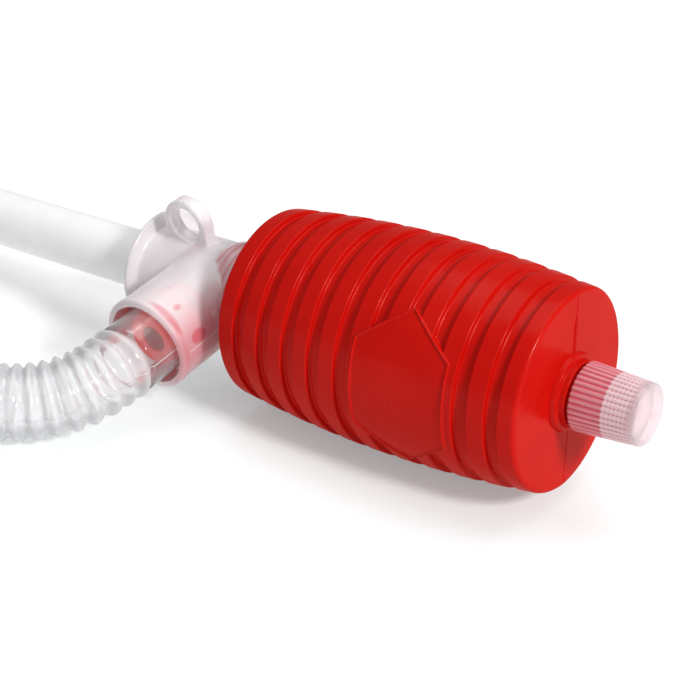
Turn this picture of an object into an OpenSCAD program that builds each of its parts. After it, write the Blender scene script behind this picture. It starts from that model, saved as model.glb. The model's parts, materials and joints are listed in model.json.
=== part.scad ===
// Hand siphon pump: a ribbed squeeze bulb, a T-shaped valve body, a rigid
// suction tube and a corrugated discharge hose, lying on a flat surface.
// The bulb lies on its belly and the suction tube rests on its far end.
// In the pump's own frame X is the bulb's axis, with 0 at the bulb's front face,
// the vent cap towards +X and the suction tube towards -X. lay() sets that frame
// down on the floor, and the origin is the bottom centre of the rigid parts' box.

/* [Squeeze bulb] */
// Length of the ribbed bulb
bulb_len = 107.6; // [106.5:0.1:112]
// Radius of the bulb's two end lands
bulb_end_r = 31; // [30:0.1:32]
// How much the barrel swells at mid length, on the radius
bulb_bulge = 3.7; // [3:0.1:4]
// Wall thickness of the blow-moulded shell
bulb_wall = 1.4; // [1:0.1:1.6]
// Distance from the front face to the middle of the first groove
groove_first = 7.7; // [7.4:0.1:8]
// Distance from groove to groove
groove_pitch = 10.12; // [10:0.02:10.16]
// Depth of a groove
groove_depth = 1.6; // [1:0.1:1.8]
// Width of a groove at the surface
groove_w = 4.7; // [4.2:0.1:5]
// Width of a groove at its floor
groove_floor_w = 3.9; // [3.2:0.1:4.1]

/* [Grip panels] */
// Distance from the front face to the middle of a panel
panel_x = 38.6; // [37:0.1:40]
// Width of a hexagonal panel along the bulb
panel_w = 32; // [30:0.5:33]
// Height of a panel across its upper and lower points
panel_h = 48.4; // [46:0.2:49]
// Height of the panel's two upright sides
panel_side_h = 27.4; // [25:0.2:28]
// How far a panel stands above the lands
panel_proud = 0.4; // [0.2:0.1:0.6]
// How far each panel goes in when the bulb is squeezed
squeeze_travel = 12; // [8:0.5:12]

/* [Vent cap] */
// Radius of the cap at its rim
cap_rim_r = 10.6; // [10.4:0.1:10.8]
// Radius of the cap at its tip
cap_tip_r = 9.4; // [9.3:0.1:9.6]
// Distance from the bulb's front face to the cap's rim
cap_gap = 4.6; // [4:0.1:5]
// Length of the cap to the edge of its tip
cap_len = 20.4; // [20:0.1:21]
// Height of the domed tip
cap_dome = 1; // [0.8:0.1:1.2]
// Radius of the vent neck's plain part
vent_neck_r = 8.8; // [8.6:0.1:9]
// Radius of the hole through the vent neck
vent_bore_r = 5.5; // [5:0.1:6]

/* [Valve body] */
// Radius of the threaded collar that takes the bulb's neck
collar_r = 16.6; // [16.4:0.1:17]
// Length of the collar
collar_len = 18; // [17:0.5:19]
// Outer radius of the suction socket
socket_r = 15.2; // [15:0.1:15.6]
// Distance from the bulb's rear face to the far face of the flange
body_len = 50; // [49:0.5:52]
// Radius of the tank flange
flange_r = 20.2; // [19.8:0.1:20.6]
// Thickness of the flange
flange_t = 1.6; // [1.4:0.1:2]
// Outer radius of the discharge branch
branch_r = 15.8; // [15.6:0.1:16]
// Distance from the bulb's rear face to the branch's axis
branch_x = 23.7; // [23:0.1:24.5]
// Distance from the suction axis to the branch's mouth
branch_len = 39.2; // [39:0.1:41]
// How far the branch points below the horizontal
branch_roll = 12.5; // [10:0.5:14]
// Radius of the branch's mouth
mouth_r = 13.5; // [13.4:0.1:13.7]
// Radius of the passages inside the body
passage_r = 11.2; // [11:0.1:11.4]

/* [Hanging ring] */
// Outer radius of the ring
ring_r = 8.6; // [8.2:0.1:9]
// Radius of the ring's hole
ring_hole_r = 6; // [5.6:0.1:6.2]
// Width of the ring
ring_w = 5.2; // [4.6:0.1:5.6]
// Distance from the bulb's rear face to the ring's axis
ring_x = 34; // [33:0.1:35]
// Height of the ring's axis over the suction axis
ring_h = 21.8; // [21.6:0.1:22.4]

/* [Suction tube] */
// Radius of the rigid tube
tube_r = 10; // [9.9:0.05:10.1]
// Wall thickness of the tube
tube_wall = 1.4; // [1:0.1:1.8]
// Length of the tube outside the valve body
tube_len = 393; // [380:1:410]
// Depth of the two notches at the tube's foot
notch_d = 9; // [7:0.5:10]

/* [Check valves] */
// Radius of a valve disc
disc_r = 8.6; // [8.2:0.1:8.8]
// Thickness of a valve disc
disc_t = 1; // [0.8:0.1:1.2]
// How far a valve disc lifts off its seat
disc_lift = 2.4; // [2:0.1:2.4]
// Radius of the port through a valve seat
port_r = 6; // [5.6:0.1:6.4]

/* [Discharge hose] */
// Radius of the hose over its corrugations
hose_r = 12.3; // [12.1:0.1:12.3]
// Wall thickness that gives the plain tube the corrugated hose's weight
hose_wall = 1.1; // [0.9:0.1:1.3]
// Radius of the smooth cuffs at the hose's ends
cuff_r = 11.8; // [11.6:0.1:11.9]
// Radius of the cuffs' bore
cuff_bore_r = 10; // [9.8:0.1:10.4]
// Length of the inlet cuff, from its seat in the valve body
cuff_len = 18; // [17:0.5:18.5]
// Length of the outlet cuff
outlet_len = 25; // [20:1:30]

/* [Hidden] */
$fn = 96;
RED = "#c8201c";
MILKY = "#ece4e2";
CLEAR = "#e4e8ea";

cut = 0.5;                       // how far a cutting tool runs past a face
gap = 0.3;                       // space between bodies that move apart
slip = 0.08;                     // radial clearance of a running fit
groove_count = 10;
end_chamfer = 1.2;

// The barrel's radius at a distance d behind the front face.
half_len = bulb_len / 2;
function barrel(d) = bulb_end_r + bulb_bulge * (1 - pow((d - half_len) / half_len, 2));
function groove_at(k) = groove_first + k * groove_pitch;

// The bulb lies on the rear edge of its eighth land, and the tube on its end.
belly_d = groove_at(7) - groove_w / 2;
belly_r = barrel(belly_d);
tube_end = bulb_len + body_len + tube_len;
tilt = atan((belly_r - tube_r) / (tube_end - belly_d));

// The box of the rigid parts, from which the origin follows.
cap_end = cap_gap + cap_len + cap_dome;
box_x_max = cap_end * cos(tilt);
box_x_min = -tube_end * cos(tilt) - tube_r * sin(tilt);
mouth_y = -branch_len * cos(branch_roll);
box_y_min = mouth_y - branch_r * sin(branch_roll);
box_y_max = barrel(half_len) + panel_proud;
floor_z = -belly_d * sin(tilt) - belly_r * cos(tilt);
origin_x = (box_x_max + box_x_min) / 2;
origin_y = (box_y_max + box_y_min) / 2;

// Valve seats, measured from the bulb's rear face and from the suction axis.
tube_stop = 36.6;
tail_r = tube_r - 0.3;           // the tube's end inside the socket
mouth_chamfer = 0.8;             // on the socket's rim, around the tube
seat_t = 2.4;
seat_lip = 0.6;
seat_gap = 0.05;
intake_seat_at = tube_stop - seat_t;
outlet_seat_at = 18.5;
retainer_at = 26;
retainer_t = 4;
spigot_end = 35.6;
spigot_rim_t = 1;
spigot_hole_r = 4.6;
cuff_at = retainer_at + retainer_t + 0.1;
hose_start = cuff_at + cuff_len;

// Necks and threads.
rear_neck_r = 12.9;
rear_neck_len = 15;
rear_bore_r = 10.6;
gasket_t = 0.8;
thread_pitch = 2.5;
thread_h = 0.6;
vent_neck_end = 22.3;
vent_plain_end = 14.8;
seal_t = 1.2;

// Sets a part of the pump's own frame down on the floor, under the origin.
module lay() {
    translate([-origin_x, -origin_y, -floor_z])
        rotate([0, -tilt, 0]) children();
}

// A solid of revolution about the bulb's axis, from [radius, distance in front
// of the bulb's front face] points.
module turned(points) {
    rotate([0, 90, 0]) rotate_extrude() polygon(points);
}

// Moves a part made along +Z onto the suction axis, pointing away from the bulb,
// with its own zero at the bulb's rear face.
module behind() {
    translate([-bulb_len, 0, 0]) rotate([0, -90, 0]) children();
}

// Rolls a part of the valve body about the suction axis, as it is screwed on.
module rolled() {
    translate([-bulb_len, 0, 0]) rotate([branch_roll, 0, 0]) children();
}

// Moves a part made along +Z onto the discharge branch's axis.
module branch() {
    rolled() translate([-branch_x, 0, 0]) rotate([90, 0, 0]) children();
}

module tube_z(r, bore, from, to) {
    translate([0, 0, from]) difference() {
        cylinder(r = r, h = to - from);
        translate([0, 0, -cut]) cylinder(r = bore, h = to - from + 2 * cut);
    }
}

module rod_z(r, from, to) {
    translate([0, 0, from]) cylinder(r = r, h = to - from);
}

// ---- Squeeze bulb ----

// The four corners of a groove, as [radius, position] points, at a depth of skin
// under the outside.
function groove(k, skin) =
    let (d = groove_at(k), a = groove_w / 2 + skin, b = groove_floor_w / 2 + skin)
    [[barrel(d - a) - skin, -(d - a)],
     [barrel(d - b) - groove_depth - skin, -(d - b)],
     [barrel(d + b) - groove_depth - skin, -(d + b)],
     [barrel(d + a) - skin, -(d + a)]];

// The bulb's side from the front face to the rear one, at a depth of skin.
function flank(skin) = let (edge = end_chamfer + skin) concat(
    [[barrel(edge) - edge, -skin], [barrel(edge) - skin, -edge]],
    [for (k = [0 : groove_count - 1]) each groove(k, skin)],
    [[barrel(bulb_len - edge) - skin, edge - bulb_len],
     [barrel(bulb_len - edge) - edge, skin - bulb_len]]);

function reversed(list) = [for (i = [len(list) - 1 : -1 : 0]) list[i]];

// The vent neck: a flange on the end face, a plain part and a thread.
function vent_thread() = [for (k = [0 : 2]) let (x = vent_plain_end + 0.7 + k * thread_pitch)
    each [[vent_neck_r - 1.4, x], [vent_neck_r - 0.6, x + 0.6],
          [vent_neck_r - 0.6, x + 1], [vent_neck_r - 1.4, x + 1.6]]];

function vent_outline() = concat(
    [[vent_bore_r, -bulb_wall], [vent_bore_r, vent_neck_end],
     [vent_neck_r - 1.4, vent_neck_end]],
    reversed(vent_thread()),
    [[vent_neck_r - 1.4, vent_plain_end], [vent_neck_r, vent_plain_end],
     [vent_neck_r, 3.4], [10.2, 3.4], [10.2, 1.6], [11.6, 1.6], [11.6, 0]]);

function rear_thread() = [for (k = [0 : 3]) let (x = -bulb_len - 3 - k * thread_pitch)
    each [[rear_neck_r - thread_h, x], [rear_neck_r, x - 0.6],
          [rear_neck_r, x - 1], [rear_neck_r - thread_h, x - 1.6]]];

function rear_outline() = concat(
    [[rear_neck_r - thread_h, -bulb_len]], rear_thread(),
    [[rear_neck_r - thread_h, -bulb_len - rear_neck_len],
     [rear_bore_r, -bulb_len - rear_neck_len],
     [rear_bore_r, bulb_wall - bulb_len]]);

// The hexagon of a grip panel, seen along Y, grown by grow on every side.
module hexagon(grow) {
    a = panel_w / 2 + grow;
    b = panel_side_h / 2 + grow * 0.6;
    c = panel_h / 2 + grow * 1.2;
    translate([-panel_x, 0])
        polygon([[-a, -b], [0, -c], [a, -b], [a, b], [0, c], [-a, b]]);
}

// A hexagonal prism on one side of the bulb: side is -1 near, 1 far.
module panel_prism(side, grow) {
    depth = bulb_end_r;
    translate([0, side * (depth / 2 + 12), 0]) rotate([90, 0, 0])
        translate([0, 0, -depth / 2]) linear_extrude(height = depth) hexagon(grow);
}

module bulb() {
    color(RED) lay() difference() {
        turned(concat(vent_outline(), flank(0), rear_outline(), reversed(flank(bulb_wall))));
        panel_prism(-1, 0);
        panel_prism(1, 0);
    }
}

// The panel follows the barrel, and fills the wall's hexagonal window.
panel_steps = 8;
function panel_line(rise) = [for (i = [0 : panel_steps])
    let (d = panel_x + panel_w * (i / panel_steps - 0.5) * 1.1)
    [barrel(d) + rise, -d]];

module grip_panel(side) {
    color(RED) lay() intersection() {
        turned(concat(panel_line(panel_proud), reversed(panel_line(-bulb_wall - groove_depth))));
        panel_prism(side, -gap);
    }
}

module grip_panel_near() {
    grip_panel(-1);
}

module grip_panel_far() {
    grip_panel(1);
}

// ---- Vent cap ----

cap_bore_r = vent_neck_r + slip;
cap_thread_r = vent_neck_r - 0.6 + gap;
cap_step = vent_plain_end + 0.4;
cap_roof = vent_neck_end + seat_gap + seal_t + seat_gap;

module vent_cap() {
    tip = cap_gap + cap_len;
    color("#f0d6d8") lay() turned([
        [cap_bore_r, cap_gap], [cap_rim_r, cap_gap], [cap_tip_r, tip - 0.6],
        [cap_tip_r - 0.9, tip], [cap_tip_r * 0.6, tip + cap_dome * 0.7],
        [0, tip + cap_dome], [0, cap_roof], [cap_thread_r, cap_roof],
        [cap_thread_r, cap_step], [cap_bore_r, cap_step]]);
}

module vent_seal() {
    color("#f6f2ee") lay()
        turned([[0, vent_neck_end + seat_gap], [vent_neck_r - 1, vent_neck_end + seat_gap],
                [vent_neck_r - 1, vent_neck_end + seat_gap + seal_t],
                [0, vent_neck_end + seat_gap + seal_t]]);
}

// ---- Valve body ----

module neck_gasket() {
    color("#3a3a3c") lay() behind()
        tube_z(rear_neck_r, rear_bore_r, rear_neck_len, rear_neck_len + gasket_t);
}

// The collar's wavy outside, made of rings that the thread inside leaves.
collar_waves = 4;
function collar_line() = [for (k = [0 : collar_waves - 1])
    let (z = gap + k * (collar_len - gap) / collar_waves, step = (collar_len - gap) / collar_waves)
    each [[collar_r - 0.5, z], [collar_r, z + step * 0.3], [collar_r, z + step * 0.7]]];

module collar() {
    rotate_extrude() polygon(concat([[0, gap]], collar_line(),
        [[collar_r - 1, collar_len], [0, collar_len]]));
}

// A ring whose two sides run straight down into the socket's wall.
module hanging_ring() {
    arm_inset = 0.2;
    foot = ring_h - socket_r + 2;
    translate([-ring_x, 0, ring_h]) rotate([90, 0, 0])
        translate([0, 0, -ring_w / 2]) difference() {
            union() {
                cylinder(r = ring_r, h = ring_w);
                translate([arm_inset - ring_r, -foot, 0])
                    cube([2 * (ring_r - arm_inset), foot, ring_w]);
            }
            translate([0, 0, -cut]) cylinder(r = ring_hole_r, h = ring_w + 2 * cut);
        }
}

module valve_body() {
    neck_pocket = rear_neck_len + gasket_t;
    color(MILKY) lay() difference() {
        union() {
            behind() collar();
            behind() rod_z(socket_r, collar_len - 1, body_len);
            behind() rod_z(flange_r, body_len - flange_t, body_len);
            branch() rod_z(branch_r, 0, branch_len);
            rolled() hanging_ring();
        }
        behind() rod_z(rear_neck_r + 0.1, gap - cut, neck_pocket);
        behind() rod_z(passage_r, neck_pocket - cut, tube_stop);
        behind() rod_z(tail_r, tube_stop - cut, body_len + cut);
        behind() translate([0, 0, body_len - mouth_chamfer])
            cylinder(r1 = tail_r, r2 = tail_r + mouth_chamfer + cut, h = mouth_chamfer + cut);
        branch() rod_z(passage_r, 0, retainer_at + cut);
        branch() rod_z(mouth_r, retainer_at, branch_len + cut);
    }
}

// ---- Check valves ----

// A seat plate along +Z from zero, with its lip on the side the disc lifts to.
module seat_plate(r) {
    tube_z(r, port_r, 0, seat_t);
    tube_z(port_r + 1.2, port_r, seat_t - cut, seat_t + seat_lip);
}

module intake_seat() {
    color(RED) lay() behind() translate([0, 0, intake_seat_at + seat_t])
        mirror([0, 0, 1]) seat_plate(passage_r);
}

intake_disc_at = intake_seat_at - seat_lip - seat_gap;

module intake_disc() {
    color("#f4f4f0") lay() behind() rod_z(disc_r, intake_disc_at - disc_t, intake_disc_at);
}

// A ring on three posts keeps the intake disc near its seat.
module intake_cage() {
    ring_at = intake_disc_at - disc_t - disc_lift - seat_gap;
    color("#e8e4dc") lay() behind() {
        tube_z(passage_r - gap, port_r, ring_at - 1, ring_at);
        for (angle = [30, 150, 270]) rotate([0, 0, angle])
            translate([disc_r + 1.3, 0, ring_at - cut])
                cylinder(r = 0.8, h = intake_seat_at - ring_at + cut);
    }
}

module outlet_seat() {
    color(RED) lay() branch() translate([0, 0, outlet_seat_at]) seat_plate(passage_r);
}

outlet_disc_at = outlet_seat_at + seat_t + seat_lip + seat_gap;

module outlet_disc() {
    color("#f4f4f0") lay() branch() rod_z(disc_r, outlet_disc_at, outlet_disc_at + disc_t);
}

// A red plug in the branch's mouth: three pegs stop the disc on its inner side,
// and a spigot on its outer side holds the hose's cuff. The spigot's end is drawn
// in to a smaller hole.
module outlet_retainer() {
    peg_at = outlet_disc_at + disc_t + disc_lift + seat_gap;
    face_at = retainer_at + retainer_t;
    color(RED) lay() branch() {
        tube_z(mouth_r, port_r + 1, retainer_at, face_at);
        translate([0, 0, face_at - cut]) difference() {
            cylinder(r1 = cuff_bore_r, r2 = cuff_bore_r - 0.9, h = spigot_end - face_at + cut);
            translate([0, 0, -cut])
                cylinder(r = port_r + 1, h = spigot_end - face_at - spigot_rim_t + 2 * cut);
            cylinder(r = spigot_hole_r, h = spigot_end - face_at + 2 * cut);
        }
        for (angle = [90, 210, 330]) rotate([0, 0, angle])
            translate([disc_r - 0.6, 0, peg_at])
                cylinder(r = 0.8, h = retainer_at - peg_at + cut);
    }
}

// ---- Suction tube ----

// The tube's end in the socket is a little thinner than the rest.
module suction_tube() {
    bore = tube_r - tube_wall;
    color(MILKY) lay() behind() difference() {
        rotate_extrude() polygon([[bore, tube_stop], [tail_r, tube_stop],
            [tail_r, body_len], [tube_r, body_len],
            [tube_r, body_len + tube_len], [bore, body_len + tube_len]]);
        translate([0, 0, body_len + tube_len]) rotate([90, 0, 0])
            translate([0, 0, -tube_r - cut]) linear_extrude(height = 2 * (tube_r + cut))
                polygon([[-4.5, cut], [0, -notch_d], [4.5, cut]]);
    }
}

// ---- Discharge hose ----

module hose_inlet_cuff() {
    color(CLEAR) lay() branch() tube_z(cuff_r, cuff_bore_r, cuff_at, hose_start);
}

// A point of the pump's own frame, on the floor.
function laid(p) = [p[0] * cos(tilt) - p[2] * sin(tilt) - origin_x, p[1] - origin_y,
                    p[0] * sin(tilt) + p[2] * cos(tilt) - floor_z];
function on_branch(s) = laid([-bulb_len - branch_x, -s * cos(branch_roll),
                              -s * sin(branch_roll)]);

// The hose comes straight out of the branch, sinks to the floor in one bend, and
// lies along the suction tube in slow curves.
hose_route = [[131.2, -52, 18.8], [130, -58, 17], [127.5, -63.5, 15.4], [124, -68.6, 14],
    [119.5, -73.3, 12.9], [114, -77.8, 12.4], [107.5, -81.8, 12.4], [100, -85.2, 12.4],
    [90, -88.4, 12.4], [78, -90.6, 12.4], [62, -91.8, 12.4], [35, -91.2, 12.4],
    [5, -88.5, 12.4], [-30, -85, 12.4], [-65, -83, 12.4], [-100, -83.4, 12.4],
    [-135, -86, 12.4], [-170, -89, 12.4], [-205, -90, 12.4], [-240, -88.5, 12.4],
    [-272, -84.5, 12.4], [-298, -80, 12.4]];
hose_points = concat([on_branch(hose_start), on_branch(hose_start + 3)], hose_route);
hose_sides = 12;
hose_last = len(hose_points) - 1;
outlet_at = hose_points[hose_last];
outlet_way = unit(hose_points[hose_last] - hose_points[hose_last - 1]);

function unit(v) = v / norm(v);
function heading(i) = unit(hose_points[min(i + 1, hose_last)] - hose_points[max(i - 1, 0)]);
function side_of(i) = unit(cross(heading(i), [0, 0, 1]));
function ring_points(i, r) = let (a = side_of(i), b = cross(a, heading(i)))
    [for (k = [0 : hose_sides - 1]) let (angle = 360 * k / hose_sides)
        hose_points[i] + r * (a * cos(angle) + b * sin(angle))];

module discharge_hose() {
    n = hose_sides;
    rings = hose_last + 1;
    points = concat([for (i = [0 : hose_last]) each ring_points(i, hose_r)],
                    [for (i = [0 : hose_last]) each ring_points(i, hose_r - hose_wall)]);
    inside = rings * n;
    outer = [for (i = [0 : hose_last - 1]) for (k = [0 : n - 1]) let (m = (k + 1) % n)
        each [[i * n + k, (i + 1) * n + m, i * n + m],
              [i * n + k, (i + 1) * n + k, (i + 1) * n + m]]];
    inner = [for (f = outer) [f[0] + inside, f[2] + inside, f[1] + inside]];
    first = [for (k = [0 : n - 1]) let (m = (k + 1) % n)
        each [[k, m, m + inside], [k, m + inside, k + inside]]];
    last = [for (f = first) [for (v = [f[0], f[2], f[1]]) v + hose_last * n]];
    color(CLEAR) polyhedron(points = points, faces = concat(outer, inner, first, last));
}

module hose_outlet_cuff() {
    turn = atan2(outlet_way[1], outlet_way[0]);
    color(CLEAR) translate(outlet_at) rotate([0, 90, turn])
        tube_z(cuff_r, cuff_bore_r, 0, outlet_len);
}

bulb();
grip_panel_near();
grip_panel_far();
vent_cap();
vent_seal();
neck_gasket();
valve_body();
intake_seat();
intake_disc();
intake_cage();
outlet_seat();
outlet_disc();
outlet_retainer();
suction_tube();
hose_inlet_cuff();
discharge_hose();
hose_outlet_cuff();
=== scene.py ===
import json
import math

import bpy
import numpy as np
from mathutils import Matrix, Vector


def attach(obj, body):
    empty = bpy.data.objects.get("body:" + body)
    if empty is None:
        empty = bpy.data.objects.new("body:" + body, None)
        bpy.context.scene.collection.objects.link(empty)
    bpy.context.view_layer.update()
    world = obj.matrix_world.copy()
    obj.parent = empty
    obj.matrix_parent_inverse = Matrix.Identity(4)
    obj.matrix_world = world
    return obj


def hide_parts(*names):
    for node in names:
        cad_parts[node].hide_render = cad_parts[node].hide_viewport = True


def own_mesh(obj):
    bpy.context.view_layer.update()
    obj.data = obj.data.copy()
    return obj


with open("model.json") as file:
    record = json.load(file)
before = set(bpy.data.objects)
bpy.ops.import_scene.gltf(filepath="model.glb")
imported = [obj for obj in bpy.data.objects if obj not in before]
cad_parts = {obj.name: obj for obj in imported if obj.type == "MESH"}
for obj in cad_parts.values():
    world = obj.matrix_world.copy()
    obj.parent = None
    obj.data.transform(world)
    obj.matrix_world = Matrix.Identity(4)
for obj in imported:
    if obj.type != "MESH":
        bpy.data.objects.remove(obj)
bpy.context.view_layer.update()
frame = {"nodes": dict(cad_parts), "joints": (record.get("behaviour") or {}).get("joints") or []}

scene = bpy.context.scene

# ---- The pump's own frame ----
# Millimetres, with 0 at the bulb's front face, +X towards the vent cap and +Z up.
MM = 0.001
BULB_LEN = 107.6
VENT_TURN_AT = 15.0
BRANCH_AT = 23.7

joints = {j["name"]: j for j in frame["joints"]}


def unit(v):
    v = np.asarray(v, float)
    return v / np.linalg.norm(v)


AXIS_X = unit(joints["vent_turn"]["axis"])
AXIS_Y = np.array([0.0, 1.0, 0.0])
AXIS_Z = np.cross(AXIS_X, AXIS_Y)
PUMP = np.array([AXIS_X, AXIS_Y, AXIS_Z])
ORIGIN = np.array(joints["vent_turn"]["pos_m"]) - VENT_TURN_AT * MM * AXIS_X

# The valve body's frame: away from the bulb, along the branch, and up.
BRANCH = unit(joints["outlet_lift"]["axis"])
ROLL = math.atan2(-BRANCH @ AXIS_Z, -BRANCH @ AXIS_Y)
VALVE = np.array([-AXIS_X, BRANCH, math.cos(ROLL) * AXIS_Z - math.sin(ROLL) * AXIS_Y])


def laid(points):
    """Points of the pump's frame, in mm, as points of the row frame, in metres."""
    return ORIGIN + MM * np.asarray(points, float) @ PUMP


def on_valve(points):
    """The same for points of the valve body's frame, from the bulb's rear face."""
    return laid((-BULB_LEN, 0, 0)) + MM * np.asarray(points, float) @ VALVE


# ---- Camera ----
# Its place in the pump's frame, and the directions of the picture's right and top.
EYE = laid((196.03, -382.69, 202.38))
RIGHT = unit(np.array([0.806757, 0.590563, 0.019446]) @ PUMP)
UP = unit(np.array([-0.256078, 0.319787, 0.912228]) @ PUMP)
LENS = 83.654

camera_data = bpy.data.cameras.new("camera")
camera_data.sensor_width = 36
camera_data.lens = LENS
camera_data.clip_start = 0.01
camera_data.clip_end = 50
camera = bpy.data.objects.new("camera", camera_data)
scene.collection.objects.link(camera)
back = np.cross(RIGHT, UP)
camera.matrix_world = Matrix((
    (RIGHT[0], UP[0], back[0], EYE[0]),
    (RIGHT[1], UP[1], back[1], EYE[1]),
    (RIGHT[2], UP[2], back[2], EYE[2]),
    (0, 0, 0, 1)))
scene.camera = camera

# ---- Materials ----


class Shader:
    """A node material, built from short calls."""

    def __init__(self, name):
        self.material = bpy.data.materials.new(name)
        self.material.use_nodes = True
        self.tree = self.material.node_tree
        self.tree.nodes.clear()
        self.place = self.node("ShaderNodeTexCoord").outputs["Object"]

    def node(self, kind, inputs=None, **settings):
        made = self.tree.nodes.new(kind)
        for key, value in settings.items():
            setattr(made, key, value)
        for key, value in (inputs or {}).items():
            socket = made.inputs[key]
            if isinstance(value, bpy.types.NodeSocket):
                self.tree.links.new(value, socket)
            else:
                socket.default_value = value
        return made

    def noise(self, size, detail=3.0, roughness=0.55):
        """Noise of about that size in metres."""
        made = self.node("ShaderNodeTexNoise", {"Vector": self.place, "Scale": 1 / size,
                                                "Detail": detail, "Roughness": roughness})
        return made.outputs["Fac"]

    def remap(self, value, low, high, start=0.3, end=0.7):
        """The value's stretch from start to end, laid over low to high."""
        made = self.node("ShaderNodeMapRange", {"Value": value, "From Min": start,
                                                "From Max": end, "To Min": low,
                                                "To Max": high})
        return made.outputs["Result"]

    def attribute(self, name):
        """A number that the mesh carries at its vertices."""
        return self.node("ShaderNodeAttribute", attribute_name=name).outputs["Fac"]

    def colours(self, value, first, second):
        """The first colour where the value is 0 and the second where it's 1."""
        made = self.node("ShaderNodeMix", data_type="RGBA")
        self.tree.links.new(value, made.inputs["Factor"])
        for key, colour in (("A", first), ("B", second)):
            if isinstance(colour, bpy.types.NodeSocket):
                self.tree.links.new(colour, made.inputs[key])
            else:
                made.inputs[key].default_value = (*colour, 1)
        return made.outputs["Result"]

    def bump(self, value, height, base=None):
        """A normal with bumps of that height in metres, over a base normal."""
        inputs = {"Height": value, "Distance": height, "Strength": 1.0}
        if base is not None:
            inputs["Normal"] = base
        return self.node("ShaderNodeBump", inputs).outputs["Normal"]

    def math(self, operation, first, second):
        """The sum or product of two numbers, kept within 0 and 1."""
        return self.node("ShaderNodeMath", {0: first, 1: second}, operation=operation,
                         use_clamp=True).outputs[0]

    def mix(self, factor, first, second):
        """The first shader where the factor is 0 and the second where it's 1."""
        return self.node("ShaderNodeMixShader", {0: factor, 1: first, 2: second}).outputs[0]

    def finish(self, surface):
        self.node("ShaderNodeOutputMaterial", {"Surface": surface})
        return self.material


def solid_plastic(name, dark, light, rough, grain=0.0004, grain_height=0.000012,
                  shine=0.5, shine_colour=(1, 1, 1)):
    """A coloured plastic: slow colour changes, uneven gloss and a fine grain.
    shine is the share of a clean surface's gloss that it has."""
    s = Shader(name)
    colour = s.colours(s.remap(s.noise(0.02), 0, 1), dark, light)
    gloss_rough = s.remap(s.noise(0.003, 4.0), rough[0], rough[1])
    waves = s.bump(s.noise(0.006, 1.0), 0.00004)
    normal = s.bump(s.noise(grain, 2.0), grain_height, waves)
    body = s.node("ShaderNodeBsdfPrincipled", {
        "Base Color": colour, "Roughness": gloss_rough, "Normal": normal, "IOR": 1.0})
    gloss = s.node("ShaderNodeBsdfGlossy", {
        "Color": (*shine_colour, 1), "Roughness": gloss_rough, "Normal": normal})
    fresnel = s.node("ShaderNodeFresnel", {"IOR": 1.45, "Normal": normal})
    share = s.math("MULTIPLY", fresnel.outputs[0], shine)
    return s.finish(s.mix(share, body.outputs[0], gloss.outputs[0]))


def milky_plastic(name, dark, light, haze, through, gloss_ior, gloss_rough=0.12,
                  tint=(1, 1, 1), blush=(0.75, 0.2, 0.24)):
    """A translucent plastic: a haze over a clear wall, and an uneven gloss.

    haze is the haze's share seen square on and edge on, through the share of it
    that's lit from behind. Three vertex attributes change it: "milk" adds haze,
    "inside" clears the haze and the gloss of a wall's inner side, and "blush"
    brings in the blush colour."""
    s = Shader(name)
    fine = s.noise(0.0007, 3.0)
    normal = s.bump(fine, 0.000008, s.bump(s.noise(0.005, 2.0), 0.00003))
    colour = s.colours(s.remap(s.noise(0.012), 0, 1), dark, light)
    colour = s.colours(s.attribute("blush"), colour, blush)
    skin = s.node("ShaderNodeBsdfPrincipled", {
        "Base Color": colour, "Roughness": s.remap(s.noise(0.002, 4.0), 0.35, 0.5),
        "Normal": normal, "IOR": 1.0}).outputs[0]
    back_lit = s.node("ShaderNodeBsdfTranslucent", {"Color": colour}).outputs[0]
    skin = s.mix(through, skin, back_lit)
    clear = s.node("ShaderNodeBsdfTransparent", {"Color": (*tint, 1)}).outputs[0]
    edge = s.node("ShaderNodeLayerWeight", {"Blend": 0.35})
    outer_side = s.remap(s.attribute("inside"), 1.0, 0.15, 0.0, 1.0)
    amount = s.remap(edge.outputs["Facing"], haze[0], haze[1], 0.0, 1.0)
    amount = s.math("MULTIPLY", s.math("ADD", amount, s.attribute("milk")), outer_side)
    body = s.mix(amount, clear, skin)
    gloss = s.node("ShaderNodeBsdfGlossy", {
        "Color": (1, 1, 1, 1), "Normal": normal,
        "Roughness": s.remap(s.noise(0.003, 3.0), gloss_rough, gloss_rough + 0.1)})
    fresnel = s.node("ShaderNodeFresnel", {"IOR": gloss_ior, "Normal": normal})
    shine = s.math("MULTIPLY", fresnel.outputs[0], outer_side)
    return s.finish(s.mix(shine, body, gloss.outputs[0]))


RED = solid_plastic("red_shell", (0.42, 0.003, 0.0015), (0.47, 0.0055, 0.003),
                    (0.16, 0.28), shine=0.24, shine_colour=(1, 0.85, 0.75))
VALVE_RED = solid_plastic("red_valve", (0.75, 0.02, 0.02), (0.82, 0.035, 0.03),
                          (0.4, 0.5))
NATURAL = solid_plastic("natural_plastic", (0.72, 0.69, 0.64), (0.82, 0.8, 0.76),
                        (0.4, 0.5))
WHITE_RUBBER = solid_plastic("white_rubber", (0.78, 0.78, 0.76), (0.86, 0.86, 0.84),
                             (0.5, 0.65), grain_height=0.00002)
DARK_RUBBER = solid_plastic("dark_rubber", (0.02, 0.02, 0.022), (0.035, 0.035, 0.038),
                            (0.5, 0.65), grain_height=0.00002)
MILKY_BODY = milky_plastic("milky_body", (0.93, 0.88, 0.91), (0.97, 0.94, 0.97),
                           (0.7, 0.95), through=0.25, gloss_ior=1.4)
MILKY_TUBE = milky_plastic("milky_tube", (0.94, 0.94, 0.95), (0.98, 0.98, 0.98),
                           (0.9, 0.98), through=0.12, gloss_rough=0.3, gloss_ior=1.25)
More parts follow.
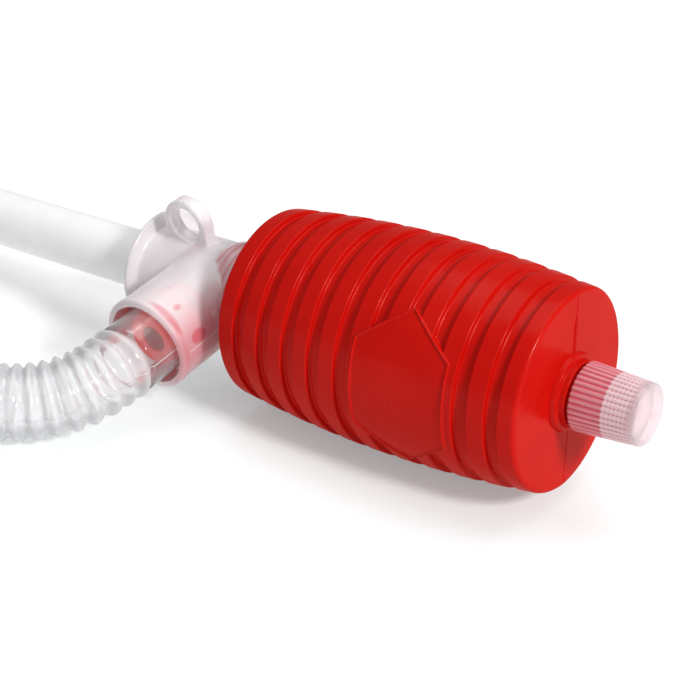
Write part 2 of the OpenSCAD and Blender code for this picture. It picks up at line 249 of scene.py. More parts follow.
CAP_CLEAR = milky_plastic("cap_clear", (0.77, 0.69, 0.71), (0.82, 0.75, 0.77),
                          (0.3, 0.6), through=0.15, tint=(1, 0.8, 0.85),
                          blush=(0.85, 0.14, 0.2), gloss_ior=1.36)
CLEAR_HOSE = milky_plastic("clear_hose", (0.88, 0.89, 0.91), (0.92, 0.92, 0.94),
                           (0.04, 0.45), through=0.3, gloss_rough=0.04, gloss_ior=1.42)

# ---- Mesh helpers ----


def make(name, points, faces, material, slot, body="pump", sharp=38):
    """A piece from points in metres, riding on a body."""
    mesh = bpy.data.meshes.new(name)
    mesh.from_pydata(np.asarray(points).tolist(), [], faces)
    mesh.polygons.foreach_set("use_smooth", [True] * len(mesh.polygons))
    mesh.set_sharp_from_angle(angle=math.radians(sharp))
    mesh.materials.append(material)
    mesh.update()
    piece = bpy.data.objects.new(name, mesh)
    scene.collection.objects.link(piece)
    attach(piece, body)
    return piece


def carry(piece, name, values):
    """Puts one number on each vertex of a piece, for its material."""
    values = np.asarray(values, np.float32)
    piece.data.attributes.new(name, "FLOAT", "POINT").data.foreach_set("value", values)


def outward(points, faces):
    """The faces of a closed skin, turned so that they look outwards."""
    points = np.asarray(points, float)
    points = points - points.mean(0)
    volume = 0.0
    for count in {len(f) for f in faces}:
        group = np.array([f for f in faces if len(f) == count])
        a = points[group[:, 0]]
        for k in range(1, count - 1):
            b, c = points[group[:, k]], points[group[:, k + 1]]
            volume += np.einsum("ij,ij->", a, np.cross(b, c))
    return faces if volume > 0 else [f[::-1] for f in faces]


def skin(rings, loop=True, tips=()):
    """Points and faces of a skin over rings of points. loop joins the last ring to
    the first; tips are two points that close the ends instead."""
    rings = np.asarray(rings, float)
    m, n = rings.shape[:2]
    points = rings.reshape(-1, 3)
    rows = m if loop else m - 1
    i = np.arange(rows)[:, None]
    j = np.arange(n)[None, :]
    a, b = i * n + j, i * n + (j + 1) % n
    c, d = ((i + 1) % m) * n + (j + 1) % n, ((i + 1) % m) * n + j
    faces = np.stack([a, b, c, d], -1).reshape(-1, 4).tolist()
    if len(tips):
        points = np.concatenate([points, np.asarray(tips, float)])
        first, last = m * n, m * n + 1
        turn = range(n)
        faces += [[first, (k + 1) % n, k] for k in turn]
        faces += [[last, (m - 1) * n + k, (m - 1) * n + (k + 1) % n] for k in turn]
    return points, outward(points, faces)


def rounded(points, radius, steps=4, closed=True):
    """A polygon with its corners rounded, and a support point beside each arc."""
    points = np.asarray(points, float)
    count = len(points)
    radii = np.broadcast_to(radius, (count,))
    out = []
    for i in range(count):
        here = points[i]
        if (not closed and i in (0, count - 1)) or radii[i] <= 0:
            out.append(here)
            continue
        before, after = points[i - 1] - here, points[(i + 1) % count] - here
        lengths = np.linalg.norm(before), np.linalg.norm(after)
        before, after = before / lengths[0], after / lengths[1]
        angle = math.acos(np.clip(before @ after, -1, 1))
        reach = radii[i] / max(math.tan(angle / 2), 1e-6)
        reach = min(reach, 0.45 * lengths[0], 0.45 * lengths[1])
        start, end = here + before * reach, here + after * reach
        out.append(start + before * min(reach * 0.3, 0.05 * lengths[0]))
        for w in np.linspace(0, 1, steps + 1):
            out.append((1 - w) ** 2 * start + 2 * w * (1 - w) * here + w * w * end)
        out.append(end + after * min(reach * 0.3, 0.05 * lengths[1]))
    return np.array(out)


def stations(points, step):
    """The line with points added where they are more than a step apart."""
    points = np.asarray(points, float)
    out = [points[0]]
    for a, b in zip(points[:-1], points[1:]):
        parts = max(1, math.ceil(np.linalg.norm(b - a) / step))
        out += [a + (b - a) * k / parts for k in range(1, parts + 1)]
    return np.array(out)


def turns(n):
    return 2 * math.pi * np.arange(n) / n


def ring(x, radius, angle):
    """A ring about the pump's X axis, its angle counted from -Y over the top."""
    radius = np.broadcast_to(radius, angle.shape)
    x = np.broadcast_to(x, angle.shape)
    return np.stack([x, -radius * np.cos(angle), radius * np.sin(angle)], -1)


def revolved(profile, n):
    """Rings of a closed profile of [x, radius] points, in the pump's frame."""
    angle = turns(n)
    return np.array([ring(x, r, angle) for x, r in profile])


def tube_along(path, radii, n, up=(0, 0, 1)):
    """Rings of the given radii along a path, turned as little as possible."""
    path = np.asarray(path, float)
    way = np.gradient(path, axis=0)
    way /= np.linalg.norm(way, axis=1)[:, None]
    side = unit(np.cross(way[0], up))
    angle = turns(n)
    rings = []
    for p, w, r in zip(path, way, radii):
        side = unit(side - w * (side @ w))
        over = np.cross(side, w)
        circle = np.outer(np.cos(angle), side) + np.outer(np.sin(angle), over)
        rings.append(p + r * circle)
    return np.array(rings)


def thin_line(path, radii, up=(0, 0, 1)):
    """Points and faces of a thin closed line along a path."""
    rings = tube_along(path, np.broadcast_to(radii, len(path)), 6, up)
    return skin(rings, loop=False, tips=(rings[0].mean(0), rings[-1].mean(0)))


def smooth_path(points, step):
    """A Catmull-Rom curve through the points, resampled to even steps."""
    points = np.asarray(points, float)
    ends = 2 * points[0] - points[1], 2 * points[-1] - points[-2]
    p = np.concatenate([[ends[0]], points, [ends[1]]])
    t = np.concatenate([[0], np.cumsum(np.sqrt(np.linalg.norm(np.diff(p, axis=0), axis=1)))])
    out = []
    for i in range(1, len(p) - 2):
        for u in np.linspace(t[i], t[i + 1], 24, endpoint=False):
            a = [((t[i + k] - u) * p[i + k - 1] + (u - t[i + k - 1]) * p[i + k])
                 / (t[i + k] - t[i + k - 1]) for k in (0, 1, 2)]
            b = [((t[i + 1 + k] - u) * a[k] + (u - t[i - 1 + k]) * a[k + 1])
                 / (t[i + 1 + k] - t[i - 1 + k]) for k in (0, 1)]
            out.append(((t[i + 1] - u) * b[0] + (u - t[i]) * b[1]) / (t[i + 1] - t[i]))
    out.append(points[-1])
    out = np.array(out)
    run = np.concatenate([[0], np.cumsum(np.linalg.norm(np.diff(out, axis=0), axis=1))])
    even = np.linspace(0, run[-1], max(2, round(run[-1] / step)) + 1)
    return np.stack([np.interp(even, run, out[:, k]) for k in range(3)], -1), even


def smoothstep(value, start, end):
    t = np.clip((value - start) / (end - start), 0, 1)
    return t * t * (3 - 2 * t)


# ---- Discharge hose ----
# Along the branch: the cuff's start, the branch's mouth and the corrugations' start.
CUFF_AT = 30.1
MOUTH_AT = 39.2
HOSE_START = 48.1
OUTLET_LEN = 25.0
HOSE_ROUTE = [
    (131.2, -52, 18.8), (130, -58, 17), (127.5, -63.5, 15.4), (124, -68.6, 14),
    (119.5, -73.3, 12.9), (114, -77.8, 12.4), (107.5, -81.8, 12.4), (100, -85.2, 12.4),
    (90, -88.4, 12.4), (78, -90.6, 12.4), (62, -91.8, 12.4), (35, -91.2, 12.4),
    (5, -88.5, 12.4), (-30, -85, 12.4), (-65, -83, 12.4), (-100, -83.4, 12.4),
    (-135, -86, 12.4), (-170, -89, 12.4), (-205, -90, 12.4), (-240, -88.5, 12.4),
    (-272, -84.5, 12.4), (-298, -80, 12.4)]
CUFF_R = 11.8
CREST_R = 12.25
ROOT_R = 10.5
PITCH = 5.0
HOSE_SKIN = 0.7
HOSE_SIDES = 40
CORRUGATED_AT = HOSE_START - CUFF_AT + 0.6
SEAM_DEGREES = 172
SEAM_R = 0.16


def hose_radius(s, length):
    """Outer radius at a distance s along the hose, in mm."""
    start = CORRUGATED_AT
    end = length - OUTLET_LEN
    wave = 0.5 - 0.5 * np.cos(2 * math.pi * (s - start) / PITCH)
    body = ROOT_R + (CREST_R - ROOT_R) * wave ** 0.7
    inside = (s > start) & (s < start + PITCH * math.floor((end - start) / PITCH))
    cuff = CUFF_R - 0.35 * np.exp(-((s - start) / 0.5) ** 2)
    return np.where(inside, body, cuff)


branch_points = [on_valve((BRANCH_AT, s, 0)) for s in (CUFF_AT, 39, HOSE_START,
                                                       HOSE_START + 3)]
route = np.array(HOSE_ROUTE) * MM
last_way = unit(route[-1] - route[-2])
route = np.concatenate([branch_points, route, [route[-1] + last_way * OUTLET_LEN * MM]])
hose_path, hose_run = smooth_path(route, PITCH / 8 * MM)
hose_len = hose_run[-1] / MM
outer_r = hose_radius(hose_run / MM, hose_len)
outer = tube_along(hose_path, outer_r * MM, HOSE_SIDES)
inner = tube_along(hose_path, (outer_r - HOSE_SKIN) * MM, HOSE_SIDES)
hose = make("discharge_hose_skin", *skin(np.concatenate([outer, inner[::-1]])),
            CLEAR_HOSE, "clear_hose", sharp=60)
hose_milk = 0.25 * smoothstep(hose_run / MM, CORRUGATED_AT - 0.5, CORRUGATED_AT + 1)
hose_milk = hose_milk + 0.12 * smoothstep(outer_r, CUFF_R, CREST_R)
carry(hose, "milk", np.repeat(np.concatenate([hose_milk, hose_milk[::-1]]), HOSE_SIDES))
carry(hose, "inside", np.repeat([0.0, 0.8], len(hose_milk) * HOSE_SIDES))
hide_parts("hose_inlet_cuff", "discharge_hose", "hose_outlet_cuff")

# The hose's mould line follows its corrugations.
seam_path = tube_along(hose_path, outer_r * MM, 360)[:, SEAM_DEGREES]
seam = make("hose_parting_line", *thin_line(seam_path, SEAM_R * MM), CLEAR_HOSE, "clear_hose",
            sharp=60)
carry(seam, "milk", np.full(len(seam.data.vertices), 0.5))
on_valve((BRANCH_AT, MOUTH_AT, 0))

# ---- Squeeze bulb ----
# Lengths are counted from the front face, backwards.
HALF = BULB_LEN / 2
END_R = 31.0
BULGE = 3.7
GROOVE_FIRST = 7.7
GROOVE_PITCH = 10.12
GROOVE_HALF = 2.35
WALL_RUN = 0.4
GROOVE_DEPTH = 1.6
GROOVES = 10
# A land's rounded edge, and the rounded foot of a groove's walls.
EDGE_R = 0.45
FOOT_R = 0.8
FOOT_H = 1.2
FOOT_SINK = 0.03
END_EDGE_R = 1.5
# The front face's halves lean back from the mould's parting plane.
TENT = math.tan(math.radians(1.2))
SQUEEZE_KEEP = 0.654
END_WALL = 3.0
VENT_ROOT_R = 11.7
REAR_ROOT_R = 12.6
PANEL_AT = 38.5
PANEL_HALF = 16.0
PANEL_SIDE = 13.95
PANEL_TOP = 26.7
PANEL_R = 34.3
PANEL_REACH = math.radians(50)
INNER_R = 24.0
BORDER_HALF, BORDER_H = 0.55, 0.55
COVERED = 0.06


def barrel(d):
    """Radius of the lands."""
    return END_R + BULGE * (1 - ((d - HALF) / HALF) ** 2)


def hexagon(d, s):
    """Distance outside the panel's hexagon, negative inside it."""
    across, up = np.abs(d - PANEL_AT), np.abs(s)
    slope = np.array([PANEL_TOP - PANEL_SIDE, PANEL_HALF])
    slope = slope / np.linalg.norm(slope)
    return np.maximum(across - PANEL_HALF,
                      across * slope[0] + (up - PANEL_TOP) * slope[1])


def with_panels(d, base, angle):
    """Radii of one ring: its plain radius, with both grip panels laid over it and a
    raised border round each."""
    radius = np.full(angle.shape, float(base))
    for centre in (0, math.pi):
        turned = (angle - centre + math.pi) % (2 * math.pi) - math.pi
        h = hexagon(d, PANEL_R * turned)
        radius += (barrel(d) - base) * smoothstep(h, 0.45, 0.0)
        border = np.cos(np.clip((h + 0.35) / BORDER_HALF, -1, 1) * math.pi / 2) ** 2
        radius += BORDER_H * border
    return radius


def panel_turns():
    """Angles around the bulb, close together where the panels are."""
    near = np.arange(-PANEL_REACH, PANEL_REACH, 0.2 / PANEL_R)
    rest = np.arange(PANEL_REACH, math.pi - PANEL_REACH, 1.0 / PANEL_R)
    half = np.concatenate([near, rest])
    return np.concatenate([half, half + math.pi])


def ring_slice(line, inner, fine, tent=False, span=None):
    """Rings of one slice of the bulb: the outer line of [d, radius] points, which
    the panels shape, closed through the inner one. Rings past the span lie a
    little lower, because another slice's skin is above them."""
    angle = panel_turns() if fine else turns(360)
    n = len(angle)
    rings = []
    for d, r in stations(line, 0.3 if fine else 1.2):
        radius = with_panels(d, r, angle) if fine else np.full(n, r)
        if span and not span[0] <= d <= span[1]:
            radius = radius - COVERED
        back_by = TENT * np.abs(radius * np.cos(angle)) if tent else 0
        rings.append(ring(-(d + back_by), radius, angle))
    rings += [ring(-d, r, angle) for d, r in inner]
    return np.array(rings)


def by_panel(first, last):
    """Whether a slice between two lengths is shaped by the panels."""
    return first < PANEL_AT + PANEL_HALF + 1 and last > PANEL_AT - PANEL_HALF - 1


def squeezed(d):
    """How much of its thickness a slice keeps when the bulb is squeezed."""
    share = np.interp(d, [0, 3, 12, 22, 30, 50, 60, 75, 90, 104, BULB_LEN],
                      [0, 0.08, 0.5, 0.92, 1, 1, 0.9, 0.64, 0.36, 0.1, 0])
    return float(1 - (1 - SQUEEZE_KEEP) * share)


def land_line(first, last):
    """Outer line of a land from groove to groove, with soft edges and steep walls."""
    corners, radii = [], []
    if first > 0:
        corners += [(first - WALL_RUN, barrel(first) - GROOVE_DEPTH), (first, barrel(first))]
        radii += [0, EDGE_R]
    if last < BULB_LEN:
        corners += [(last, barrel(last)), (last + WALL_RUN, barrel(last) - GROOVE_DEPTH)]
        radii += [EDGE_R, 0]
    if first <= 0:
        corners = [(0, VENT_ROOT_R - 0.4), (0, END_R + 0.1)] + corners
        radii = [0, END_EDGE_R] + radii
    if last >= BULB_LEN:
        corners += [(BULB_LEN, END_R + 0.1), (BULB_LEN, REAR_ROOT_R - 0.6)]
        radii += [END_EDGE_R, 0]
    return rounded(corners, radii, 4, closed=False)


def bulb_slices():
    """(name, middle, rings) of every land and groove, from the front."""
    for k in range(GROOVES + 1):
        first = GROOVE_FIRST + (k - 1) * GROOVE_PITCH + GROOVE_HALF if k else 0
        last = GROOVE_FIRST + k * GROOVE_PITCH - GROOVE_HALF if k < GROOVES else BULB_LEN
        inner = [(last + WALL_RUN, INNER_R), (first - WALL_RUN, INNER_R)]
        if k == 0:
            inner = [(last + WALL_RUN, INNER_R), (END_WALL, INNER_R),
                     (END_WALL, VENT_ROOT_R - 0.4)]
        if k == GROOVES:
            inner = [(BULB_LEN - END_WALL, REAR_ROOT_R - 0.6), (BULB_LEN - END_WALL, INNER_R),
                     (first - WALL_RUN, INNER_R)]
        rings = ring_slice(land_line(first, last), inner, by_panel(first, last), tent=k == 0)
        yield f"bulb_land_{k + 1}", (first + last) / 2, rings
        if k == GROOVES:
            return
        a, b = last + WALL_RUN, last + 2 * GROOVE_HALF - WALL_RUN
        low, high = barrel(a) - GROOVE_DEPTH, barrel(b) - GROOVE_DEPTH
        lean = FOOT_SINK + WALL_RUN * FOOT_H / GROOVE_DEPTH
        foot = [(a - lean, low + FOOT_H), (a - FOOT_SINK, low),
                (b + FOOT_SINK, high), (b + lean, high + FOOT_H)]
        line = rounded(foot, [0, FOOT_R, FOOT_R, 0], 5, closed=False)
        inner = [(b, INNER_R), (a, INNER_R)]
        rings = ring_slice(line, inner, by_panel(a, b), span=(a, b))
        yield f"bulb_groove_{k + 1}", (a + b) / 2, rings


CENTRE = laid((-HALF, 0, 0))
for name, middle, rings in bulb_slices():
    piece = make(name, *skin(laid(rings)), RED, "red_shell", sharp=50)
    squeezed(middle)
    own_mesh(piece)
    if name == "bulb_land_4":
        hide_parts("bulb", "grip_panel_near", "grip_panel_far")

# Necks, which the real bulb is moulded in one with.
VENT_R, VENT_BORE, VENT_THREAD_R = 8.8, 5.5, 8.2
VENT_ROOT = 7.4
REAR_R, REAR_BORE, REAR_THREAD_R = 12.3, 10.6, 12.9
REAR_LEN = 15.0
THREAD_PITCH, THREAD_WIDTH = 2.5, 1.6


def ribs(start, count, low, high, way=1):
    """[x, radius] points of round thread ribs along a neck."""
    out = []
    for k in range(count):
        x = start + way * k * THREAD_PITCH
        out += [(x, low), (x + way * 0.25 * THREAD_WIDTH, high),
                (x + way * 0.6 * THREAD_WIDTH, high), (x + way * THREAD_WIDTH, low)]
    return out


def neck(name, profile, radii, steps, sides):
    """A neck of the bulb, turned from its profile."""
    rings = revolved(rounded(profile, radii, steps), sides)
    make(name, *skin(laid(rings)), RED, "red_shell")


vent_profile = ([(-1.2, VENT_BORE), (-1.2, 12.2), (0, 12.2), (1.3, 11.6), (1.6, 10.5),
                 (3.4, 10.2), (3.5, VENT_R), (14.8, VENT_R), (15, VENT_ROOT)]
                + ribs(15.5, 3, VENT_ROOT, VENT_THREAD_R)
                + [(22.3, VENT_ROOT), (22.3, VENT_BORE)])
vent_radii = [0, 0, 0.8, 0.35, 0.3, 0.35, 0.3, 0.3, 0.1] + [0.2] * 12 + [0.3, 0.3]
neck("bulb_vent_neck", vent_profile, vent_radii, 3, 144)
rear_profile = ([(-BULB_LEN + 2, REAR_BORE), (-BULB_LEN + 2, REAR_R), (-BULB_LEN - 2.6, REAR_R)]
                + ribs(-BULB_LEN - 3, 4, REAR_R, REAR_THREAD_R, -1)
                + [(-BULB_LEN - REAR_LEN, REAR_R), (-BULB_LEN - REAR_LEN, REAR_BORE)])
neck("bulb_rear_neck", rear_profile, 0.2, 2, 128)

# The mould's parting line on the front face. Above the neck it's a thick pinch.
PARTING_R, PINCH_R = 0.14, 0.4
for name, sign in (("top", 1), ("bottom", -1)):
    face = [(0.0, 0.0, sign * r) for r in np.linspace(12.0, 29.6, 19)]
    edge = [(-0.5, 0.0, sign * 30.8), (-1.6, 0.0, sign * 31.1), (-4.8, 0.0, sign * 31.3)]
    line = np.array(face + edge)
    pinch = PINCH_R * smoothstep(np.abs(line[:, 2]), 25.0, 21.0) if sign > 0 else 0
    line_skin = thin_line(laid(line), (PARTING_R + pinch) * MM, up=(0, 1, 0))
    make(f"bulb_parting_line_{name}", *line_skin, RED, "red_shell", sharp=80)

# ---- Vent cap ----
FLUTES = 36
CAP_RIM, CAP_TIP = 4.6, 25.0
CAP_RIM_R, CAP_TIP_R = 10.6, 9.35
CAP_BORE_R = 8.95
FLUTE_DEPTH = 0.42
CAP_THREAD_AT = 14.6
CAP_FLOOR = 23.6
THREAD_ROW = 1.25
TIP_MILK = 0.15


def cap_outer(x, angle):
    """Radius of the cap's fluted side: rounded ribs that fade towards the tip."""
    t = (x - CAP_RIM) / (CAP_TIP - CAP_RIM)
    base = CAP_RIM_R + (CAP_TIP_R - CAP_RIM_R) * t
    wave = np.abs(np.sin(FLUTES * angle / 2)) ** 0.8
    depth = FLUTE_DEPTH * smoothstep(np.full(angle.shape, t), 1.0, 0.78)
    return base - depth * (1 - wave)


def cap_inner(x):
    """Radius of the cap's bore: plain, then rounded threads."""
    if x < CAP_THREAD_AT:
        return CAP_BORE_R
    wave = 0.5 - 0.5 * math.cos(math.pi * (x - CAP_THREAD_AT) / THREAD_ROW)
    return 8.85 - 0.5 * wave ** 0.8


def vent_cap():
    """The cap, from its tip over the outside to the rim and back up the bore. Each
    ring carries its haze, its blush and whether it's on the inner side."""
    n = FLUTES * 10
    angle = turns(n)
    wave = np.abs(np.sin(FLUTES * angle / 2))
    rings, numbers = [], []

    def add(x, radius, milk, blush, inside=0.0):
        rings.append(ring(x, radius, angle))
        numbers.append(np.stack(np.broadcast_arrays(milk, blush, inside, angle)[:3], -1))

    for r in np.linspace(0.5, 7.8, 12):
        dome = 0.35 + 0.65 * (1 - (r / 8.6) ** 2) - 0.45 * math.exp(-(r / 1.5) ** 2)
        add(CAP_TIP + dome, r, TIP_MILK, 0.05 + 0.15 * math.exp(-(r / 2.0) ** 2))
    corner = rounded([(CAP_TIP + 0.42, 7.9), (CAP_TIP, CAP_TIP_R),
                      (CAP_TIP - 2, CAP_TIP_R + 0.12)], [0, 0.9, 0], 5, closed=False)
    for x, r in corner[1:-1]:
        add(x, r, TIP_MILK, 0.05)
    for x in np.linspace(CAP_TIP - 1.9, CAP_RIM + 0.2, 76):
        tip = smoothstep(np.full(n, x), CAP_TIP - 3.5, CAP_TIP - 1.5)
        plain = smoothstep(np.full(n, x), CAP_THREAD_AT + 0.2, CAP_THREAD_AT - 0.2)
        row = abs(math.sin(math.pi * (x - CAP_THREAD_AT) / THREAD_ROW))
        threads = 1 - (1 - wave) * (1 - row)
        flute = plain * (0.2 + 0.15 * wave) + (1 - plain) * (0.15 + 0.35 * threads)
        colour = plain * (0.95 - 0.35 * wave ** 3) + (1 - plain) * (0.65 - 0.45 * threads)
        add(x, cap_outer(x, angle), (1 - tip) * flute + tip * TIP_MILK,
            (1 - tip) * colour + tip * 0.1)
    add(CAP_RIM, cap_outer(CAP_RIM, angle) - 0.2, 0.4, 0.2)
    add(CAP_RIM, 9.2, 0.4, 0.3)
    for x in (CAP_RIM + 0.2, 9, 14.4):
        add(x, cap_inner(x), 0, 0.6, 0.8)
    for x in np.arange(CAP_THREAD_AT, 23.4, 0.3):
        radius = cap_inner(x)
        ridge = 0.7 * (CAP_BORE_R - radius)
        add(x, radius, 0.1 + ridge, 0.45 - ridge)
    add(CAP_FLOOR - 0.05, 8.3, 0.1, 0.2)
    for r in (6, 3, 0.5):
        add(CAP_FLOOR, r, 0.1, 0.2)
    tips = [(CAP_TIP + 0.55, 0, 0), (CAP_FLOOR, 0, 0)]
    points, faces = skin(laid(rings), loop=False, tips=laid(tips))
    piece = make("vent_cap_fluted", points, faces, CAP_CLEAR, "cap_clear", "vent_cap", sharp=60)
    numbers = np.concatenate(numbers + [[[TIP_MILK, 0.2, 0], [0.1, 0.2, 0]]])
    for k, name in enumerate(("milk", "blush", "inside")):
        carry(piece, name, numbers[:, k])
    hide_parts("vent_cap")


vent_cap()

# ---- Valve body ----
# Lengths t run away from the bulb, s along the branch and u up.
COLLAR_R, COLLAR_LEN = 16.5, 18.0
SOCKET_R = 15.2
BODY_LEN = 50.0
FLANGE_R, FLANGE_T = 20.2, 1.6
BRANCH_R = 15.8
MOUTH_R = 13.5
PASSAGE_R = 11.2
RING_AT, RING_UP = 34.0, 21.8
RING_R, RING_HOLE, RING_HALF = 8.6, 6.0, 2.6
# Where the retainer's red shows through the branch: along it, half length, angle, half width.
PATCHES = [(30.4, 3.2, 169, 8), (36.6, 1.7, 128, 26), (31.6, 1.6, 127, 4)]


def smooth_union(a, b, k):
    """Two distances joined, with a fillet about k wide."""
    h = np.clip(0.5 + 0.5 * (b - a) / k, 0, 1)
    return b + (a - b) * h - k * h * (1 - h)


def rod(along, radial, start, end, radius, edge):
    """Distance to a rod with rounded rims."""
    x = np.abs(along - (start + end) / 2) - (end - start) / 2 + edge
    y = radial - radius + edge
    outside = np.sqrt(np.maximum(x, 0) ** 2 + np.maximum(y, 0) ** 2)
    return outside + np.minimum(np.maximum(x, y), 0) - edge


def bores(t, s, u):
    """Signed distance to the hollow inside the valve body."""
    main, side = np.hypot(s, u), np.hypot(t - BRANCH_AT, u)
    return np.minimum.reduce([
        rod(t, main, -4, 15.8, 13.0, 0), rod(t, main, 15, 36.6, PASSAGE_R, 0),
        rod(t, main, 36, 60, 9.75, 0), rod(s, side, 0, 27, PASSAGE_R, 0),
        rod(s, side, 26, 60, MOUTH_R, 0)])


def valve_field(t, s, u):
    """Signed distance to the valve body, in its own frame."""
    main = np.hypot(s, u)
    side = np.hypot(t - BRANCH_AT, u)
    eye = np.hypot(t - RING_AT, u - RING_UP)
    waves = 0.22 * np.cos(2 * math.pi * (t - 2.2) / 4.4) * smoothstep(t, 18.0, 16.0)
    collar = rod(t, main + 0.22 - waves, 0.3, COLLAR_LEN, COLLAR_R, 0.8)
    socket = rod(t, main, COLLAR_LEN - 3, BODY_LEN - 0.2, SOCKET_R, 0.3)
    flange = rod(t, main, BODY_LEN - FLANGE_T, BODY_LEN, FLANGE_R, 0.45)
    branch = rod(s, side, 0, MOUTH_AT, BRANCH_R, 1.0)
    lip = rod(s, side, MOUTH_AT - 3.2, MOUTH_AT - 0.1, BRANCH_R + 0.18, 0.5)
    body = smooth_union(collar, socket, 2.0)
    body = smooth_union(body, flange, 1.0)
    body = smooth_union(body, smooth_union(branch, lip, 0.4), 1.6)
    hang = rod(s, eye, -RING_HALF, RING_HALF, RING_R, 0.6)
    arms = np.maximum(np.maximum(np.abs(t - RING_AT) - RING_R + 0.2, np.abs(s) - RING_HALF),
                      np.maximum(12 - u, u - RING_UP))
    body = smooth_union(body, smooth_union(hang, arms, 0.4), 1.6)
    slit = np.maximum(np.maximum(np.abs(t - RING_AT) - 0.25, np.abs(s) - 3),
                      RING_UP + RING_R - 0.9 - u)
    hole = np.minimum.reduce([rod(s, eye, -6, 6, RING_HOLE, 0), slit, bores(t, s, u)])
    return np.maximum(body, -hole)


def blush_of(t, s, u):
    """How much red the valve body's wall gets: the red parts inside showing through it, and
    painted red light bounced from the bulb onto the wall near it.
    """
    side = np.hypot(t - BRANCH_AT, u)
    threads = 0.75 + 0.25 * np.cos(2 * math.pi * t / 2.5)
    turn = np.degrees(np.arctan2(u, t - BRANCH_AT))
    collar = 0.85 * threads * smoothstep(t, 22, 17) * smoothstep(side, 15.9, 16.4)
    # Painted red light bounced from the bulb onto the branch's low side beside it.
    painted_bulb_bounce = 0.7 * smoothstep(t, 21, 7.9) * smoothstep(u, 15, 3) * smoothstep(side, 17, 16)
    patches = sum(smoothstep(np.hypot((s - at) / half, (turn - middle) / width), 1.3, 0.5)
                  for at, half, middle, width in PATCHES)
    return np.clip(collar + painted_bulb_bounce + 0.55 * patches * smoothstep(side, 15, 15.6), 0, 1)


def net(field, low, high, step):
    """Points and faces of the field's zero surface, one point to a crossed cell."""
    axes = [np.arange(a, b + step, step) for a, b in zip(low, high)]
    value = field(*np.meshgrid(*axes, indexing="ij"))
    inside = value < 0
    shape = tuple(k - 1 for k in value.shape)
    total = np.zeros(shape + (3,))
    count = np.zeros(shape)
    crossings = []
    for axis in range(3):
        first = [slice(None)] * 3
        second = [slice(None)] * 3
        first[axis], second[axis] = slice(None, -1), slice(1, None)
        a, b = value[tuple(first)], value[tuple(second)]
        at = np.argwhere(inside[tuple(first)] != inside[tuple(second)])
        share = a[tuple(at.T)] / (a[tuple(at.T)] - b[tuple(at.T)])
        place = at.astype(float)
        place[:, axis] += share
        others = [k for k in range(3) if k != axis]
        keep = np.all([(at[:, k] > 0) & (at[:, k] < value.shape[k] - 1) for k in others], 0)
        at, place = at[keep], place[keep]
        for p in (0, 1):
            for q in (0, 1):
                cell = at.copy()
                cell[:, others[0]] -= p
                cell[:, others[1]] -= q
                np.add.at(total, tuple(cell.T), place)
                np.add.at(count, tuple(cell.T), 1)
        crossings.append((axis, others, at, inside[tuple(first)][tuple(at.T)]))
    index = -np.ones(shape, int)
    used = count > 0
    index[used] = np.arange(used.sum())
    points = np.array([a[0] for a in axes]) + step * total[used] / count[used][:, None]
    faces = []
    for axis, others, at, starts_inside in crossings:
        corners = []
        for p, q in ((0, 0), (1, 0), (1, 1), (0, 1)):
            cell = at.copy()
            cell[:, others[0]] -= p
            cell[:, others[1]] -= q
            corners.append(index[tuple(cell.T)])
        quads = np.stack(corners, -1)
        flip = starts_inside if axis != 1 else ~starts_inside
        quads[flip] = quads[flip][:, ::-1]
        faces.append(quads)
    return points, np.concatenate(faces).tolist()


step = 0.5
points, faces = net(valve_field, (-0.7, -21.2, -21.2), (51.2, 40.4, 35.6), step)
placed = on_valve(points)
body_piece = make("valve_body_moulding", placed, outward(placed, faces), MILKY_BODY,
                  "milky_body", sharp=42)
carry(body_piece, "blush", blush_of(*points.T))
carry(body_piece, "inside", bores(*points.T) < 0.3)
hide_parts("valve_body")

# Thin parting lines along both sides of the branch.
for k, sign in enumerate((1, -1)):
    line = [(BRANCH_AT + sign * (BRANCH_R + 0.02), s, 0.0) for s in np.linspace(17, 36.2, 12)]
    make(f"branch_parting_line_{k + 1}", *thin_line(on_valve(line), 0.1 * MM), MILKY_BODY,
         "milky_body", sharp=80)

# ---- Suction tube ----
TUBE_R, TUBE_BORE, TAIL_R = 10.0, 8.6, 9.7
TUBE_START, TUBE_END = 36.6, 443.0
NOTCH_HALF, NOTCH_DEPTH = 4.5, 9.0


def suction_tube():
    """The tube, thinner where it's in the socket, with two notches in its foot."""
    angle = turns(96)
    profile = ([(TUBE_START, TAIL_R), (BODY_LEN, TAIL_R), (BODY_LEN, TUBE_R)]
               + [(t, TUBE_R) for t in (BODY_LEN + 5, 150, 250, 350, 428, 431)])
    outer_line = profile + [(TUBE_END - 0.3, TUBE_R), (TUBE_END, TUBE_R - 0.3)]
    inner_line = [(TUBE_END, TUBE_BORE + 0.2), (TUBE_END - 0.3, TUBE_BORE), (431, TUBE_BORE),
                  (TUBE_START, TUBE_BORE)]
    rings = []
    inside = [0.0] * len(outer_line) + [0.8] * len(inner_line)
    for t, r in outer_line + inner_line:
        across = np.abs(TUBE_R * np.cos(angle))
        notch = NOTCH_DEPTH * np.clip(1 - across / NOTCH_HALF, 0, 1)
        ends = t > TUBE_END - 1
        rings.append(ring(-BULB_LEN - (t - notch if ends else t), r, angle))
    piece = make("suction_tube_skin", *skin(laid(rings)), MILKY_TUBE, "milky_tube", sharp=50)
    carry(piece, "inside", np.repeat(inside, len(angle)))
    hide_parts("suction_tube")


suction_tube()

# ---- Parts that keep their CAD shape ----
kept = {"vent_seal": WHITE_RUBBER, "neck_gasket": DARK_RUBBER, "intake_seat": VALVE_RED,
        "intake_disc": WHITE_RUBBER, "intake_cage": NATURAL, "outlet_seat": VALVE_RED,
        "outlet_disc": WHITE_RUBBER, "outlet_retainer": VALVE_RED}
for name, material in kept.items():
    materials = frame["nodes"][name].data.materials
    materials.clear()
    materials.append(material)
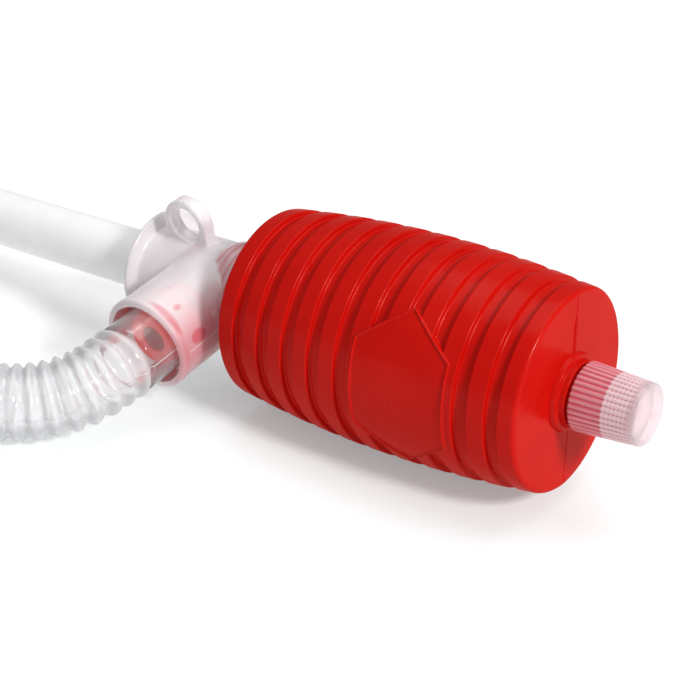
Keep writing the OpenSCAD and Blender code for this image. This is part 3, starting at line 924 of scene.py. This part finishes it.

# ---- Floor and lights ----
# The floor glows a little, so that it stays pale. Under the bulb its glow is painted less red,
# to cancel the red light that the bulb throws into its shadow, so that the shadow stays grey.
FLOOR_HALF = 6.0
GLOW_NEAR, GLOW_FAR = 0.05, 0.13
floor_shader = Shader("floor")
floor_tone = floor_shader.colours(floor_shader.noise(0.4), (0.66, 0.66, 0.66), (0.7, 0.7, 0.7))
from_bulb = floor_shader.node("ShaderNodeVectorMath", {
    0: floor_shader.place, 1: (CENTRE[0], CENTRE[1] - 0.02, 0)}, operation="DISTANCE")
glow = floor_shader.colours(floor_shader.remap(from_bulb.outputs["Value"], 0, 1, GLOW_NEAR,
                                               GLOW_FAR),
                            (0.78, 1, 1), (1, 1, 1))
floor_material = floor_shader.finish(floor_shader.node("ShaderNodeBsdfPrincipled", {
    "Base Color": floor_tone, "Roughness": 0.75, "IOR": 1.3,
    "Emission Color": glow, "Emission Strength": 0.3}).outputs[0])
corners = [(-FLOOR_HALF, -FLOOR_HALF, 0), (FLOOR_HALF, -FLOOR_HALF, 0),
           (FLOOR_HALF, FLOOR_HALF, 0), (-FLOOR_HALF, FLOOR_HALF, 0)]
floor_mesh = bpy.data.meshes.new("floor")
floor_mesh.from_pydata(corners, [], [(0, 1, 2, 3)])
floor_mesh.materials.append(floor_material)
floor = bpy.data.objects.new("floor", floor_mesh)
scene.collection.objects.link(floor)

world = bpy.data.worlds.new("studio")
world.use_nodes = True
background = world.node_tree.nodes["Background"]
background.inputs["Color"].default_value = (1, 1, 1, 1)
background.inputs["Strength"].default_value = 0.47
scene.world = world


def area_light(name, position, target, size, watts):
    data = bpy.data.lights.new(name, "AREA")
    data.shape = "RECTANGLE"
    data.size, data.size_y = size
    data.energy = watts
    light = bpy.data.objects.new(name, data)
    light.location = position
    way = Vector(target) - Vector(position)
    light.rotation_mode = "QUATERNION"
    light.rotation_quaternion = way.to_track_quat("-Z", "Y")
    scene.collection.objects.link(light)


TARGET = (0.18, 0.0, 0.03)
area_light("overhead", (0.1, 0.35, 2.4), TARGET, (2.2, 1.8), 25)
area_light("key", (1.78, -0.36, 1.15), TARGET, (0.35, 0.35), 32)

scene.view_settings.view_transform = "Standard"
scene.cycles.transparent_max_bounces = 24
